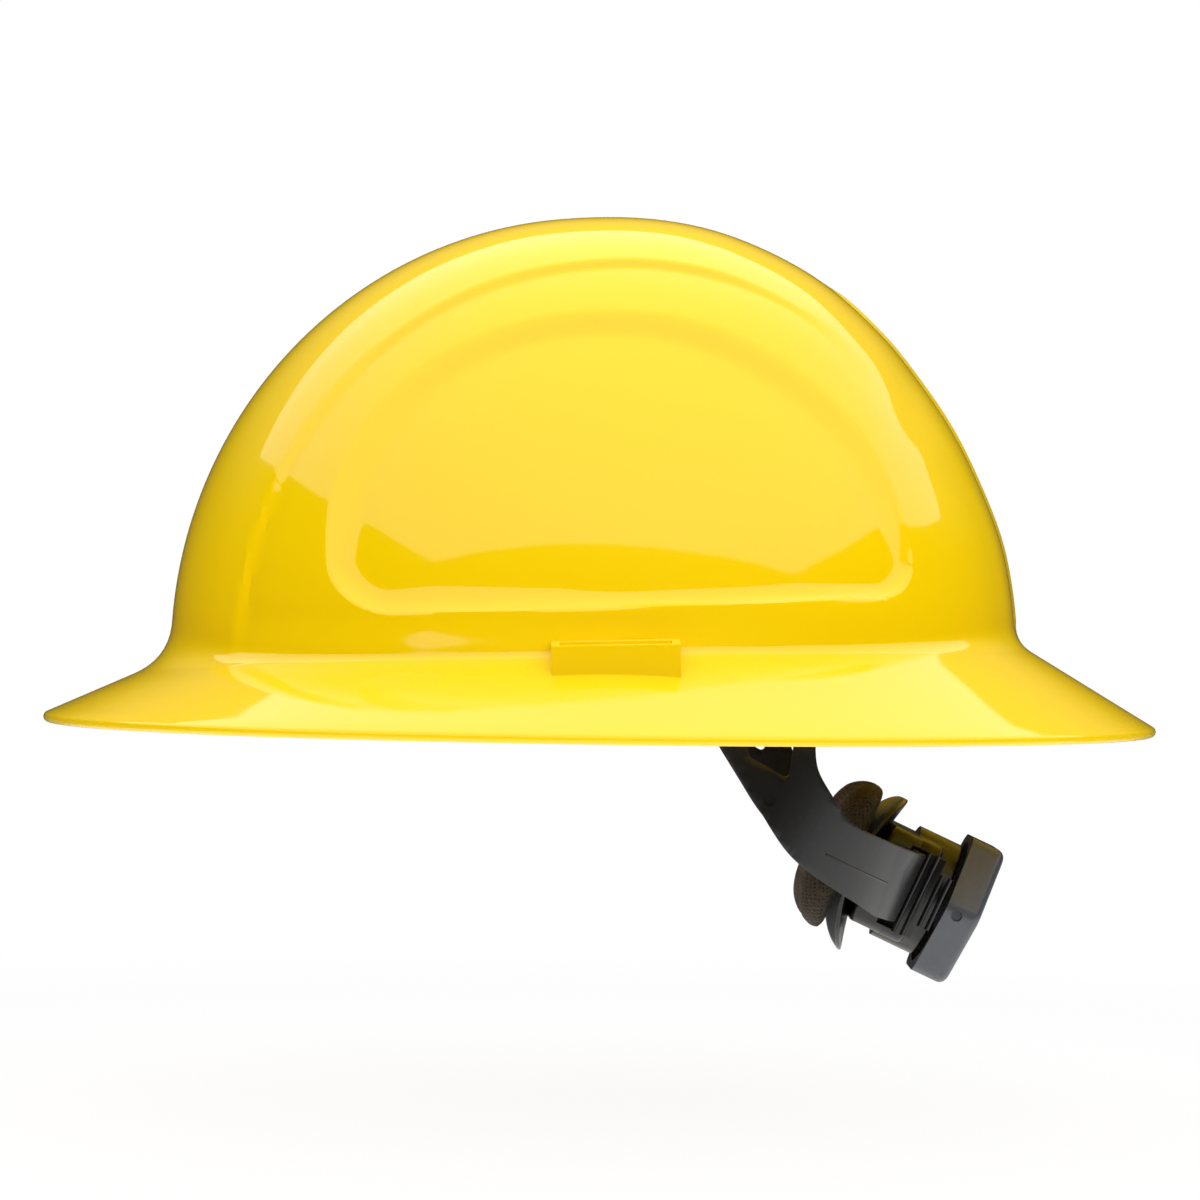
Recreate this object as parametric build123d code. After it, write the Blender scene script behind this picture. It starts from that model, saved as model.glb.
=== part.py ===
from build123d import *
import os
from math import cos, hypot, pi, radians, sin, tan

# Full brim hard hat: a moulded shell on a four-point suspension with a ratchet nape adjuster.
# Frame: +X to the front of the brim, +Y to the wearer's left, +Z up, in millimetres.
# The origin is the centre of the brim's rim, half-way up the rim's edge.

# Overrun of every cutting tool past the faces that it cuts
overrun = 5.0

# Shell: dome and brim
brim_length = 324.0
brim_width = 278.0
dome_length = 246.6
dome_width = 209.0
dome_rise = 127.7
dome_base = 20.1
dome_shift = 2.2
dome_floor = 12.0
wall = 2.5
rim_thickness = 2.4
rim_lip = 2.6
root_height = 22.8
root_inset = 10.0
root_radius = 12.0
root_tilt = 2.2
root_drop_share = 1.15

# Shell: raised crown band, its soft shoulders and the rib down the rear
band_half_width = 41.0
band_front_half_width = 62.0
band_flare_start = 30.0
band_flare_radius = 160.0
shoulder_step = 2.0
shoulder_floor = 48.0
rib_width = 11.0
rib_height = 0.8
rib_front = -62.0
rib_floor = 29.0

# Shell: recessed panel in each side
recess_depth = 3.0
recess_length = 163.5
recess_rise = 66.0
recess_x = -4.6
recess_z = 48.7
recess_turn = 11.0
recess_sill = 35.1
recess_front_radius = 15.0
recess_rear_radius = 9.0

# Shell: accessory slot on each side
boss_length = 34.4
boss_x = -3.4
boss_face = 112.5
boss_height = 26.2
boss_base = 10.0
boss_slant = 17.0
boss_depth = 12.0
slot_length = 30.0
slot_gap = 4.4
slot_lip = 2.1

# Shell: four pockets that take the hanger keys
diagonal = 40.0
pocket_width = 25.0
pocket_depth = 12.0
pocket_floor = 12.0
pocket_top = 36.5
pocket_skin = 1.6
pocket_roof = 3.5

# Hanger keys
key_thickness = 2.4
key_clearance = 0.15
key_width = 20.0
tongue_width = 18.0
bridge_floor = 2.0
bridge_thickness = 3.0
plate_bottom = -1.5
plate_top = 22.0
key_stud_radius = 2.5
key_stud_length = 3.6

# Headband
band_length = 205.0
band_width = 165.0
band_thickness = 1.8
band_bottom = -2.0
band_top = 26.0
band_end_y = 46.0
lug_depth = 3.7
lug_width = 18.0
lug_bottom = 0.0
lug_top = 20.0

# Brow pad
pad_thickness = 5.0
pad_gap = 0.2
pad_bottom = -3.0
pad_top = 28.0
pad_rear_x = 24.0
pad_edge_radius = 2.2

# Crown straps
strap_width = 19.0
strap_thickness = 1.2
strap_apex = 112.5
strap_spring_z = 24.0
strap_end_z = 7.0
strap_crossing_gap = 1.0

# Nape yoke pivots
pivot_x = -20.0
pivot_z = 13.0
pivot_stud_radius = 3.0
pivot_head_radius = 6.0
pivot_head_thickness = 2.0
pivot_boss_radius = 8.0
running_clearance = 0.05
face_clearance = 0.3

# Ratchet frame: centre of the pinion, and the downward tilt of the knob's axis
ratchet_x = -87.3
ratchet_z = -44.7
ratchet_tilt = 24.7

# Nape arms: flat straps with rack ends
arm_thickness = 1.8
arm_gap = 1.6
arm_strap_width = 20.6
arm_strap_rise = 1.0
arm_strap_forward = 22.0
turn_start = 28.0
turn_depth = 48.0
layer_gap = 0.4
eye_radius = 7.5
tongue_reach = 33.0
rack_near = 16.0
rack_far = 29.0

# Places along the arm's edges, as shares of the way from the pivot to the pinion
front_edge_shares = (
    (0.02, 0.10), (0.19, 0.265), (0.28, 0.433), (0.366, 0.591), (0.486, 0.789), (0.574, 0.875),
)
rear_edge_shares = ((0.70, 0.589), (0.648, 0.494), (0.59, 0.371), (0.579, 0.277), (0.579, 0.10))
top_edge_shares = ((0.579, -0.07), (0.06, -0.09))
window_shares = (
    (0.4725, 0.423), (0.5097, 0.0815), (0.1634, 0.0815), (0.297, 0.2513), (0.312, 0.319),
)
window_radius = 1.2

# Pinion and racks
module = 0.9
pinion_teeth = 10
addendum_share = 0.9
dedendum_share = 1.25
tip_share = 0.22
root_share = 0.68
slot_clearance = 0.9
pinion_height = 4.6
front_pin_radius = 2.5
front_pin_length = 3.8
shaft_radius = 4.5
shaft_end = 20.0
shaft_flat = 3.4

# Ratchet housing
housing_length = 57.0
housing_height = 30.0
housing_front = -10.0
housing_back = 7.0
housing_radius = 6.0
housing_edge = 1.6
channel_height = 24.4
channel_depth = 4.8
collar_radius = 17.5
collar_bore = 15.0
collar_top = 13.6
detent_teeth = 20
detent_tip_radius = 14.2
rib_flange = 1.2
rib_flange_length = 2.0

# Detent spring
detent_hub_radius = 6.6
detent_nose_radius = 1.3
detent_arm_width = 1.4
detent_bottom = 8.0
detent_top = 12.6
detent_clearance = 0.12

# Knob
knob_flats = 42.4
knob_bottom = 14.5
knob_top = 24.9
knob_corner = 6.0
knob_edge = 2.4
knob_skirt_wall = 2.2
knob_skirt_roof = 19.0
knob_hub_radius = 7.5
screw_radius = 1.6
screw_head_radius = 3.6
screw_head_height = 2.0
screw_length = 12.0

# Nape pad
plate_length = 62.0
plate_height = 47.0
plate_radius = 14.0
pad_plate_thickness = 2.6
plate_flare = 4.0
cushion_base_length = 58.0
cushion_base_height = 42.0
cushion_length = 63.0
cushion_height = 45.5
cushion_crown_length = 50.0
cushion_crown_height = 33.0
cushion_depth = 14.0
cushion_bulge_share = 0.45
cushion_radius = 11.0
cushion_rise = 0.6


def ellipsoid(length, width, rise, centre):
    """Solid ellipsoid of a full length and width, and of a half height."""
    return Pos(*centre) * scale(Sphere(1), by=(length / 2, width / 2, rise))


def block(x_range, y_range, z_range):
    """Box between three pairs of limits."""
    size = [high - low for low, high in (x_range, y_range, z_range)]
    middle = [(high + low) / 2 for low, high in (x_range, y_range, z_range)]
    return Pos(*middle) * Box(*size)


def post(radius, length):
    """Round post that stands on its frame's origin."""
    return Cylinder(radius, length, align=(Align.CENTER, Align.CENTER, Align.MIN))


def bore(radius, depth):
    """Round solid that hangs below its frame's origin."""
    return Cylinder(radius, depth, align=(Align.CENTER, Align.CENTER, Align.MAX))


def diagonal_place(angle):
    """Frame at the dome's centre whose X axis points to one hanger key."""
    return Pos(dome_shift, 0, 0) * Rot(0, 0, angle)


def diagonal_reach(length, width):
    """How far an oval of this length and width reaches towards a hanger key."""
    return 1 / hypot(2 * cos(radians(diagonal)) / length, 2 * sin(radians(diagonal)) / width)


diagonal_angles = {
    "front_left": diagonal,
    "rear_left": 180 - diagonal,
    "rear_right": 180 + diagonal,
    "front_right": -diagonal,
}


# Shell

brim_slope = (root_height - rim_thickness / 2) / ((brim_length - dome_length) / 2)
highest = dome_base + dome_rise + overrun


def dome(inset, step=0):
    """The dome's ellipsoid, taken in all round by inset and at its top by step."""
    size = (dome_length - 2 * inset, dome_width - 2 * inset, dome_rise - inset - step)
    return ellipsoid(*size, (dome_shift, 0, dome_base))


def root_plane(drop):
    """Level at which the brim's slope ends inside the dome. It rises to the rear."""
    tilt = radians(root_tilt)
    height = root_height + root_inset * brim_slope - drop
    along = (cos(tilt), 0, -sin(tilt))
    return Plane(origin=(dome_shift, 0, height), x_dir=along, z_dir=(sin(tilt), 0, cos(tilt)))


def root_edges(solid):
    """The edges where the dome meets the brim's slope."""
    found = []
    for edge in solid.edges():
        box = edge.bounding_box()
        if edge.length > dome_width / 2 and rim_thickness < box.min.Z and box.max.Z < shoulder_floor:
            found.append(edge)
    return found


def hat_body(inset, rim_level, rim_inset, radius):
    """Dome and sloping brim as one solid, with a hollow curve of this radius between them."""
    top = Ellipse(dome_length / 2 - root_inset - inset, dome_width / 2 - root_inset - inset)
    rim = Ellipse(brim_length / 2 - rim_inset, brim_width / 2 - rim_inset)
    slope = loft([Plane.XY.offset(rim_level) * rim, root_plane(inset * root_drop_share) * top], ruled=True)
    limits = (-brim_length, brim_length)
    upper = dome(inset) & block(limits, limits, (dome_floor, highest))
    body = upper + slope
    return fillet(root_edges(body), radius)


def band_plan(inset):
    """Plan of the raised crown band, which widens towards the front."""
    rear = band_half_width - inset
    front = band_front_half_width - inset
    end = dome_length / 2 + overrun
    outline = Polyline(
        (-end, -rear), (band_flare_start, -rear), (end, -front),
        (end, front), (band_flare_start, rear), (-end, rear), close=True,
    )
    plan = make_face(outline)
    bends = [v for v in plan.vertices() if abs(v.X - band_flare_start) < overrun]
    return fillet(bends, band_flare_radius)


def shoulder_tool(inset):
    """What the dome's sides lose outside the crown band."""
    limits = (-brim_length, brim_length)
    sides = block(limits, limits, (shoulder_floor, highest))
    sides -= Pos(0, 0, shoulder_floor - overrun) * extrude(band_plan(inset), highest)
    return sides - dome(inset, shoulder_step)


def recess_plan(margin):
    """D-shaped outline of a side panel, seen from the side and grown by a margin."""
    arch = Ellipse(recess_length / 2 + margin, recess_rise + margin)
    arch = Pos(recess_x, recess_z) * Rot(0, 0, recess_turn) * arch
    sill = recess_sill - margin
    above = Pos(0, sill + recess_length / 2) * Rectangle(2 * recess_length, recess_length)
    plan = arch & (Pos(recess_x, 0) * Rot(0, 0, -root_tilt) * above)
    corners = plan.vertices().sort_by(Axis.X)
    plan = fillet(corners[0], recess_rear_radius + margin)
    corners = plan.vertices().sort_by(Axis.X)
    return fillet(corners[-1], recess_front_radius + margin)


def recess_tool(inset, margin):
    """Both side panels' recesses, down to a smaller ellipsoid."""
    prism = extrude(Plane.XZ * recess_plan(margin), brim_width / 2, both=True)
    return prism - dome(inset + recess_depth)


def rear_rib():
    """Narrow raised rib from the crown down the middle of the rear."""
    strip = block((-dome_length, rib_front), (-rib_width / 2, rib_width / 2), (rib_floor, highest))
    return dome(-rib_height) & strip


def boss_tilt(solid):
    """Turns a feature of the boss with the root line's tilt."""
    return Pos(boss_x, 0, boss_height) * Rot(0, root_tilt, 0) * Pos(-boss_x, 0, -boss_height) * solid


def boss(side):
    """Moulded block that carries one accessory slot. Its top slants outwards."""
    inner = boss_face - boss_depth
    top = boss_height + boss_depth * tan(radians(boss_slant))
    outline = Polyline(
        (side * inner, boss_base), (side * boss_face, boss_base),
        (side * boss_face, boss_height), (side * inner, top), close=True,
    )
    profile = Plane.YZ * make_face(outline)
    return boss_tilt(Pos(boss_x, 0, 0) * extrude(profile, boss_length / 2, both=True))


def boss_slot(side):
    """The slot through the boss and the brim below it."""
    outer = boss_face - slot_lip
    limits = sorted((side * outer, side * (outer - slot_gap)))
    height = (boss_base - overrun, boss_height + boss_depth)
    length = (boss_x - slot_length / 2, boss_x + slot_length / 2)
    return boss_tilt(block(length, limits, height))


pocket_outer = diagonal_reach(dome_length, dome_width)
pocket_inner = pocket_outer - pocket_depth


def pocket(angle):
    """Block inside the shell that takes one hanger key."""
    half = pocket_width / 2
    height = (pocket_floor, pocket_top)
    return diagonal_place(angle) * block((pocket_inner, pocket_outer), (-half, half), height)


tongue_inner = pocket_inner + pocket_skin + key_clearance
tongue_outer = tongue_inner + key_thickness
tongue_top = pocket_top - pocket_roof - key_clearance


def pocket_slot(angle):
    """The key's slot in a pocket, open downwards."""
    half = tongue_width / 2 + key_clearance
    depth = (tongue_inner - key_clearance, tongue_outer + key_clearance)
    height = (pocket_floor - overrun, pocket_top - pocket_roof)
    return diagonal_place(angle) * block(depth, (-half, half), height)


def make_shell():
    """The whole moulded shell with its brim, panels, slots and pockets."""
    edge = Plane.XY.offset(-rim_thickness / 2) * Ellipse(brim_length / 2, brim_width / 2)
    outer = hat_body(0, rim_thickness / 2, 0, root_radius) + extrude(edge, rim_thickness)
    outer = outer - shoulder_tool(0) - recess_tool(0, 0) + rear_rib()
    inner = hat_body(wall, -rim_thickness / 2, rim_lip, root_radius + wall)
    inner = inner - shoulder_tool(wall) - recess_tool(wall, wall)
    shell = outer + boss(1) + boss(-1) - inner
    for angle in diagonal_angles.values():
        shell += pocket(angle) & outer
    for angle in diagonal_angles.values():
        shell -= pocket_slot(angle)
    return shell - boss_slot(1) - boss_slot(-1)


# Suspension

band_reach = diagonal_reach(band_length, band_width)
lug_face = band_reach + lug_depth
lug_middle = (lug_bottom + lug_top) / 2
plate_outer = lug_face + key_thickness


def lug_stud(clearance):
    """Stud of a key's plate, or with a clearance its hole in the headband's lug."""
    stud = post(key_stud_radius + clearance, key_stud_length + clearance)
    return Pos(lug_face, 0, lug_middle) * Rot(0, -90, 0) * stud


def hanger_key(angle):
    """Key whose tongue sits in a shell pocket and whose plate holds headband and strap."""
    half = key_width / 2
    bridge = (bridge_floor, bridge_floor + bridge_thickness)
    half_tongue = tongue_width / 2
    width = (-half_tongue, half_tongue)
    key = block((tongue_inner, tongue_outer), width, (bridge_floor, tongue_top))
    key += block((lug_face, tongue_outer), (-half, half), bridge)
    key += block((lug_face, plate_outer), (-half, half), (plate_bottom, plate_top))
    return diagonal_place(angle) * (key + lug_stud(0))


def oval(inset):
    """Plan of the headband's outer face, taken in by inset."""
    return Pos(dome_shift, 0) * Ellipse(band_length / 2 - inset, band_width / 2 - inset)


arm_side = band_width / 2 + arm_gap
pivot_face = arm_side - arm_thickness / 2 - face_clearance


def make_headband():
    """Headband round the front and sides, with four lugs and two pivot bosses."""
    height = band_top - band_bottom
    band = Pos(0, 0, band_bottom) * extrude(oval(0), height)
    half = lug_width / 2
    lug = block((band_reach - lug_depth, lug_face), (-half, half), (lug_bottom, lug_top))
    for angle in diagonal_angles.values():
        band += diagonal_place(angle) * lug
    boss_axis = Pos(pivot_x, 0, pivot_z) * Rot(90, 0, 0)
    band += boss_axis * Cylinder(pivot_boss_radius, 2 * pivot_face)
    inside = extrude(oval(band_thickness), height + 2 * overrun)
    band -= Pos(0, 0, band_bottom - overrun) * inside
    band -= boss_axis * Cylinder(pivot_stud_radius + running_clearance, 2 * (pivot_face + overrun))
    rear = (-band_length, 0)
    band -= block(rear, (-band_end_y, band_end_y), (band_bottom - overrun, band_top + overrun))
    for angle in diagonal_angles.values():
        band -= diagonal_place(angle) * lug_stud(key_clearance)
    return band


def make_brow_pad():
    """Padded sweatband inside the front of the headband, crowned towards the head."""
    inset = band_thickness + pad_gap
    height = pad_top - pad_bottom
    pad = Pos(0, 0, pad_bottom) * extrude(oval(inset) - oval(inset + pad_thickness), height)
    rear = (-band_length, pad_rear_x)
    limits = (-band_width, band_width)
    pad -= block(rear, limits, (pad_bottom - overrun, pad_top + overrun))
    long_edges = [edge for edge in pad.edges() if edge.length > band_width / 2]
    inner = ShapeList(long_edges).sort_by(SortBy.LENGTH)[:2]
    return fillet(inner, pad_edge_radius)


def crown_strap(angle, apex):
    """Woven strap between two opposite keys, over the head in an arch."""
    rise = apex - strap_spring_z
    reach = plate_outer + strap_thickness
    arch = Ellipse(reach, rise) - Ellipse(plate_outer, rise - strap_thickness)
    arch = arch & (Pos(0, rise / 2) * Rectangle(2 * reach, rise))
    arch = Pos(0, strap_spring_z) * arch
    drop = strap_spring_z - strap_end_z
    for side in (1, -1):
        middle = side * (plate_outer + strap_thickness / 2)
        arch += Pos(middle, strap_end_z + drop / 2) * Rectangle(strap_thickness, drop)
    return diagonal_place(angle) * extrude(Plane.XZ * arch, strap_width / 2, both=True)


def pivot_stud(side):
    """Stud that an arm's eye turns on."""
    head_inner = arm_side + arm_thickness / 2 + face_clearance
    start = band_width / 2 - band_thickness - pivot_head_thickness
    axis = Pos(pivot_x, 0, pivot_z) * Rot(-90 * side, 0, 0)
    shank = post(pivot_stud_radius, head_inner - start)
    head = post(pivot_head_radius, pivot_head_thickness)
    rim = head.edges().group_by(Axis.Z)[-1]
    head = fillet(rim, pivot_head_thickness / 2)
    return axis * (Pos(0, 0, start) * shank + Pos(0, 0, head_inner) * head)


# Ratchet frame: local X to the wearer's right, local Y up along the pad, local Z out along the knob's axis

tilt_cos = cos(radians(ratchet_tilt))
tilt_sin = sin(radians(ratchet_tilt))
outwards = (-tilt_cos, 0, -tilt_sin)
ratchet_plane = Plane(origin=(ratchet_x, 0, ratchet_z), x_dir=(0, -1, 0), z_dir=outwards)
ratchet_place = ratchet_plane.location
ratchet_reach = pivot_x - ratchet_x + eye_radius
pitch = pi * module
pitch_radius = module * pinion_teeth / 2
addendum = addendum_share * module
dedendum = dedendum_share * module


def side_point(out, up):
    """Side-view place, in the hat's frame, of a point given in the ratchet frame."""
    return (ratchet_x - out * tilt_cos - up * tilt_sin, ratchet_z - out * tilt_sin + up * tilt_cos)


def arm_point(shares):
    """Side-view place from its shares of the way between pivot and pinion."""
    along, down = shares
    return (pivot_x - along * (pivot_x - ratchet_x), pivot_z - down * (pivot_z - ratchet_z))


def arm_outline():
    """Side view of an arm: a triangular frame with an eye, which runs into a strap."""
    low = arm_strap_rise - arm_strap_width / 2
    high = arm_strap_rise + arm_strap_width / 2
    front = [arm_point(shares) for shares in front_edge_shares]
    rear = [arm_point(shares) for shares in rear_edge_shares]
    top = [arm_point(shares) for shares in top_edge_shares]
    strap = [side_point(-turn_start / 4, low), side_point(overrun, low)]
    strap_back = [side_point(overrun, high), side_point(-arm_strap_forward, high)]
    lower = Spline(*front, strap[0])
    upper = Spline(strap_back[1], *rear)
    edges = [
        lower, Line(strap[0], strap[1]), Line(strap[1], strap_back[0]),
        Line(strap_back[0], strap_back[1]), upper, Line(rear[-1], top[0]),
        Line(top[0], top[1]), Line(top[1], front[0]),
    ]
    outline = make_face(edges)
    outline += Pos(pivot_x, pivot_z) * Circle(eye_radius)
    window = make_face(Polyline(*[arm_point(shares) for shares in window_shares], close=True))
    outline -= fillet(window.vertices(), window_radius)
    return outline - Pos(pivot_x, pivot_z) * Circle(pivot_stud_radius + running_clearance)


def arm_plan(side, layer):
    """Plan of an arm: straight out of the housing, round a quarter turn, then forward."""
    half = arm_thickness / 2
    wide = arm_side - turn_start
    outer = (wide + half, turn_depth + half)
    ring = Ellipse(*outer) - Ellipse(wide - half, turn_depth - half)
    ring = ring & (Pos(side * outer[0] / 2, outer[1] / 2) * Rectangle(*outer))
    ring = Pos(side * turn_start, layer - turn_depth) * ring
    middle = layer - turn_depth - ratchet_reach / 2
    straight = Pos(side * arm_side, middle) * Rectangle(arm_thickness, ratchet_reach)
    return ring + straight


def trapezoid(at, base, half_base, tip, half_tip):
    """Tooth outline between two levels, centred on one place."""
    corners = [(at - half_base, base), (at - half_tip, tip), (at + half_tip, tip), (at + half_base, base)]
    return make_face(Polyline(*corners, close=True))


def rack_slot(side):
    """Slot in an arm's end, toothed along one edge, for the left or right arm."""
    tooth_side = -side
    root = tooth_side * (pitch_radius + dedendum)
    tip = tooth_side * (pitch_radius - addendum)
    clear = -tooth_side * (pitch_radius + addendum + slot_clearance)
    start = side * rack_near
    end = -side * rack_far
    slot = Pos((start + end) / 2, (root + clear) / 2) * Rectangle(abs(start - end), abs(root - clear))
    count = round(rack_far / pitch)
    below = round(rack_near / pitch)
    for step in range(-below, count):
        at = -side * (step + 0.5) * pitch
        slot -= trapezoid(at, root, root_share * pitch / 2, tip, tip_share * pitch / 2)
    return slot


def nape_arm(side):
    """One arm of the yoke, in the hat's frame. Side -1 is the wearer's left in ratchet axes."""
    layer = -side * (layer_gap + arm_thickness) / 2
    plan = Plane.XZ * arm_plan(side, layer)
    strip = ratchet_place * extrude(plan, ratchet_reach + housing_height, both=True)
    far = arm_side + overrun
    start = far if side < 0 else -turn_start
    prism = Pos(0, start, 0) * extrude(Plane.XZ * arm_outline(), far - turn_start)
    arm = strip & prism
    length = turn_start + tongue_reach
    tongue = Pos(side * (turn_start - length / 2), arm_strap_rise) * Rectangle(length, arm_strap_width)
    tongue = extrude(tongue - rack_slot(side), arm_thickness / 2, both=True)
    return arm + ratchet_place * (Pos(0, 0, layer) * tongue)


def make_pinion():
    """Pinion with its front pin and the shaft that the knob sits on."""
    base = Circle(pitch_radius - dedendum)
    half_root = root_share * pitch / 2
    half_tip = tip_share * pitch / 2
    root = pitch_radius - dedendum
    for tooth in range(pinion_teeth):
        flank = trapezoid(0, root - module / 2, half_root, pitch_radius + addendum, half_tip)
        base += Rot(0, 0, 360 * tooth / pinion_teeth) * flank
    gear = extrude(base, pinion_height / 2, both=True)
    shaft_base = pinion_height / 2
    gear += Pos(0, 0, -shaft_base) * bore(front_pin_radius, front_pin_length)
    gear += Pos(0, 0, shaft_base) * post(shaft_radius, shaft_end - shaft_base)
    for side in (1, -1):
        limits = sorted((side * shaft_flat, side * (shaft_radius + overrun)))
        gear -= block((-overrun, overrun), limits, (housing_back, shaft_end + overrun))
    screw_hole = Pos(0, 0, shaft_end) * bore(screw_radius, screw_length)
    return ratchet_place * (gear - screw_hole)


def housing_blank(low, high, closed_end):
    """Rounded block between two levels, with its closed end's edge rounded."""
    plan = RectangleRounded(housing_length, housing_height, housing_radius)
    blank = Pos(0, 0, low) * extrude(plan, high - low)
    rim = blank.edges().group_by(Axis.Z)[closed_end]
    return fillet(rim, housing_edge)


def channel():
    """Passage of the two arms' ends through the housing."""
    return Box(housing_length + 2 * overrun, channel_height, channel_depth)


def make_housing_front():
    """Half of the housing next to the head, with the pinion's front bearing."""
    half = housing_blank(housing_front, 0, 0) - channel()
    depth = front_pin_length + pinion_height / 2 + face_clearance
    return ratchet_place * (half - bore(front_pin_radius + running_clearance, depth))


def detent_ring():
    """Hollow of the collar, with teeth that the spring's noses click over."""
    ring = Circle(collar_bore)
    depth = collar_bore - detent_tip_radius
    width = pi * collar_bore / detent_teeth / 2
    for tooth in range(detent_teeth):
        at = trapezoid(0, collar_bore + depth, width + depth, collar_bore - depth, depth / 2)
        ring -= Rot(0, 0, 360 * (tooth + 0.5) / detent_teeth) * at
    return ring


def make_housing_back():
    """Half of the housing next to the knob, with the shaft's bearing and the detent collar."""
    half = housing_blank(0, housing_back, -1) - channel()
    half += post(collar_radius, collar_top) - channel()
    half = fillet(half.edges().group_by(Axis.Z)[-1], housing_edge / 2)
    hollow = extrude(detent_ring(), collar_top)
    half -= Pos(0, 0, housing_back) * hollow
    half -= Cylinder(shaft_radius + running_clearance, 2 * collar_top)
    for side in (1, -1):
        start = side * (housing_length / 2 - rib_flange_length)
        limits = sorted((start, side * housing_length / 2))
        flange = block(limits, (-channel_height / 2, channel_height / 2), (0, housing_back + rib_flange))
        half += flange - channel()
    return ratchet_place * half


def make_detent_spring():
    """Two sprung arms on a hub, each with a nose just inside the detent teeth."""
    nose_reach = detent_tip_radius - detent_clearance - detent_nose_radius
    plan = Circle(detent_hub_radius)
    bow = Circle(nose_reach / 2 + detent_arm_width / 2) - Circle(nose_reach / 2 - detent_arm_width / 2)
    size = 2 * nose_reach
    for turn in (0, 180):
        half_bow = (Pos(0, nose_reach / 2) * bow) & (Pos(size / 2, nose_reach / 2) * Rectangle(size, size))
        arm = half_bow + Pos(0, nose_reach) * Circle(detent_nose_radius)
        plan += Rot(0, 0, turn) * arm
    fit = running_clearance
    keyway = Circle(shaft_radius + fit) & Rectangle(2 * overrun, 2 * (shaft_flat + fit))
    spring = extrude(plan - keyway, detent_top - detent_bottom)
    return ratchet_place * (Pos(0, 0, detent_bottom) * spring)


def make_knob():
    """Six-sided knob with a hollow skirt and a keyed hub."""
    profile = RegularPolygon(knob_flats / 2, 6, major_radius=False, rotation=0)
    profile = fillet(profile.vertices(), knob_corner)
    knob = Pos(0, 0, knob_bottom) * extrude(profile, knob_top - knob_bottom)
    knob = fillet(knob.edges().group_by(Axis.Z)[-1], knob_edge)
    hollow_radius = knob_flats / 2 - knob_skirt_wall
    hollow = Circle(hollow_radius) - Circle(knob_hub_radius)
    knob -= Pos(0, 0, knob_bottom) * extrude(hollow, knob_skirt_roof - knob_bottom)
    fit = running_clearance
    keyway = Circle(shaft_radius + fit) & Rectangle(2 * overrun, 2 * (shaft_flat + fit))
    socket = Pos(0, 0, knob_bottom) * extrude(keyway, shaft_end + fit - knob_bottom)
    head = Pos(0, 0, knob_top) * Cylinder(screw_head_radius + fit, 2 * screw_head_height)
    hole = Pos(0, 0, knob_top) * Cylinder(screw_radius + fit, 2 * (knob_top - knob_bottom))
    return ratchet_place * (knob - socket - head - hole)


def make_knob_screw():
    """Countersunk into the knob's face, it holds the knob on the pinion's shaft."""
    top = knob_top - running_clearance
    head = bore(screw_head_radius, screw_head_height - running_clearance)
    driver = Box(screw_head_radius, screw_radius / 2, screw_head_height)
    driver += Box(screw_radius / 2, screw_head_radius, screw_head_height)
    length = knob_top - shaft_end + screw_length - face_clearance
    shank = bore(screw_radius - running_clearance, length)
    return ratchet_place * (Pos(0, 0, top) * (head + shank - driver))


def make_nape_pad_plate():
    """Stiff plate behind the nape cushion, whose upper and lower ends flare rearward."""
    half = plate_height / 2
    back = housing_front
    front = back - pad_plate_thickness
    outer_arc = ThreePointArc((-half, back + plate_flare), (0, back), (half, back + plate_flare))
    inner_arc = ThreePointArc((-half, front + plate_flare), (0, front), (half, front + plate_flare))
    ends = [Line(outer_arc @ 0, inner_arc @ 0), Line(outer_arc @ 1, inner_arc @ 1)]
    profile = make_face([outer_arc, inner_arc, *ends])
    sheet = extrude(Plane.YZ * profile, plate_length / 2, both=True)
    plan = RectangleRounded(plate_length, plate_height, plate_radius)
    outline = extrude(plan, 2 * plate_height, both=True)
    across = housing_length / 2
    up = housing_height / 2
    seat = block((-across, across), (-up, up), (back, 0))
    return ratchet_place * ((sheet & outline) - seat)


def make_nape_cushion():
    """Soft pad on the plate: drawn in at its base, fullest part-way, crowned to the head."""
    base = housing_front - pad_plate_thickness - pad_gap
    levels = (base, base - cushion_bulge_share * cushion_depth, base - cushion_depth)
    sizes = (
        (cushion_base_length, cushion_base_height),
        (cushion_length, cushion_height),
        (cushion_crown_length, cushion_crown_height),
    )
    sections = []
    for level, (length, height) in zip(levels, sizes):
        plan = RectangleRounded(length, height, cushion_radius)
        sections.append(Plane.XY.offset(level) * Pos(0, cushion_rise) * plan)
    return ratchet_place * loft(sections)


def all_parts():
    """Every node of the hard hat, by name."""
    parts = {"shell": make_shell()}
    for name, angle in diagonal_angles.items():
        parts[f"hanger_key_{name}"] = hanger_key(angle)
    lower_apex = strap_apex - strap_thickness - strap_crossing_gap
    parts["crown_strap_upper"] = crown_strap(diagonal, strap_apex)
    parts["crown_strap_lower"] = crown_strap(-diagonal, lower_apex)
    parts["headband"] = make_headband()
    parts["brow_pad"] = make_brow_pad()
    parts["pivot_stud_left"] = pivot_stud(1)
    parts["pivot_stud_right"] = pivot_stud(-1)
    parts["nape_arm_left"] = nape_arm(-1)
    parts["nape_arm_right"] = nape_arm(1)
    parts["ratchet_housing_front"] = make_housing_front()
    parts["ratchet_housing_back"] = make_housing_back()
    parts["drive_pinion"] = make_pinion()
    parts["detent_spring"] = make_detent_spring()
    parts["ratchet_knob"] = make_knob()
    parts["knob_screw"] = make_knob_screw()
    parts["nape_pad_plate"] = make_nape_pad_plate()
    parts["nape_cushion"] = make_nape_cushion()
    return parts


os.makedirs("parts", exist_ok=True)
for part_name, solid in all_parts().items():
    export_step(solid, f"parts/{part_name}.step")
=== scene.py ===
import math

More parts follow.
